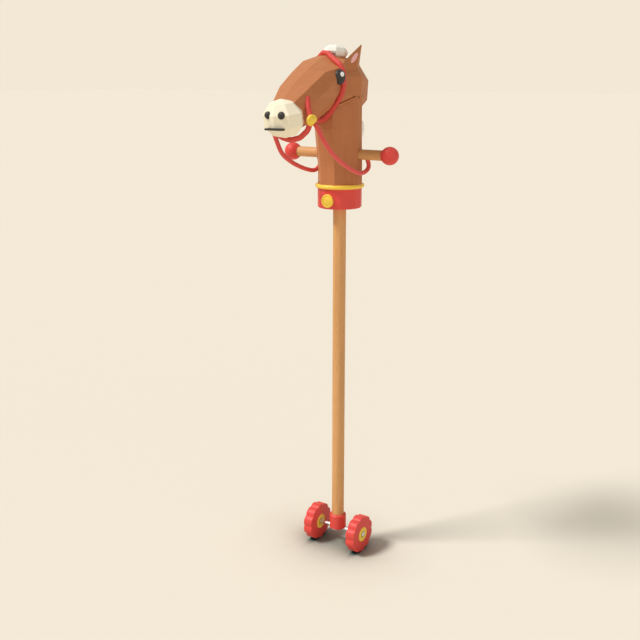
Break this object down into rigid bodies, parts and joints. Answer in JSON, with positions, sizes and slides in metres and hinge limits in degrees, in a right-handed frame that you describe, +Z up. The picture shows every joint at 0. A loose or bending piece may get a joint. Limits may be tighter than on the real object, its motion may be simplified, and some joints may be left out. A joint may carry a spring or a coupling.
{
  "type": "hobby horse",
  "caption": "Toy horse's head with a bridle and reins on a wooden pole, with a hand bar to hold it by and wheels at the pole's foot that roll as the child walks.",
  "frame": {"origin": "middle of the hand bar, on its axis and on the pole's axis", "axes": "+X along the hand bar and the axle towards the horse's left side, +Y towards the rider and away from the horse's nose, +Z up the pole"},
  "size_m": [0.2472, 0.2844, 1.0044],
  "materials": {
    "red_paint": "smooth satin red paint on turned wood",
    "red_leather": "soft round strap, matt red",
    "red_cord": "braided cord, matt red",
    "gold_paint": "satin gold-yellow paint",
    "dowel_wood": "clear satin lacquer on straight-grained wood",
    "brown_wood": "carved flats under a warm brown stain",
    "cream_paint": "matt cream paint on wood",
    "dark_paint": "dark satin",
    "white_paint": "glossy white",
    "pink_paint": "matt pink paint on wood",
    "steel": "bright zinc-plated"
  },
  "bodies": {
    "horse": {"pole": "dowel_wood", "axle_socket": "red_paint", "axle": "steel", "axle_saddle": "steel", "front_screw": "steel", "back_screw": "steel", "collar": "red_paint", "collar_ring": "gold_paint", "collar_button": "gold_paint", "pole_pin": "dowel_wood", "neck_block": "brown_wood", "hand_bar": "dowel_wood", "left_ball": "red_paint", "right_ball": "red_paint", "head_block": "brown_wood", "muzzle": "cream_paint", "muzzle_dowel": "dowel_wood", "left_nostril": "dark_paint", "right_nostril": "dark_paint", "mouth": "dark_paint", "left_eye": "dark_paint", "right_eye": "dark_paint", "left_eye_light": "white_paint", "right_eye_light": "white_paint", "left_ear": "brown_wood", "right_ear": "brown_wood", "left_ear_inner": "pink_paint", "right_ear_inner": "pink_paint", "forelock": "cream_paint", "mane_lock_1": "cream_paint", "mane_lock_2": "cream_paint", "mane_lock_3": "cream_paint", "mane_lock_4": "cream_paint", "headstall": "red_leather", "noseband": "red_leather", "left_medallion": "gold_paint", "right_medallion": "gold_paint", "left_rein": "red_cord", "right_rein": "red_cord"},
    "left_wheel": {"left_wheel": "red_paint", "left_outer_bush": "gold_paint", "left_inner_bush": "gold_paint"},
    "right_wheel": {"right_wheel": "red_paint", "right_outer_bush": "gold_paint", "right_inner_bush": "gold_paint"}
  },
  "joints": [
    {"name": "left_wheel_spin", "type": "hinge", "parent": "horse", "child": "left_wheel", "pos_m": [0.0517, 0, -0.772], "axis": [1, 0, 0], "continuous": true},
    {"name": "right_wheel_spin", "type": "hinge", "parent": "horse", "child": "right_wheel", "pos_m": [-0.0517, 0, -0.772], "axis": [1, 0, 0], "continuous": true}
  ]
}
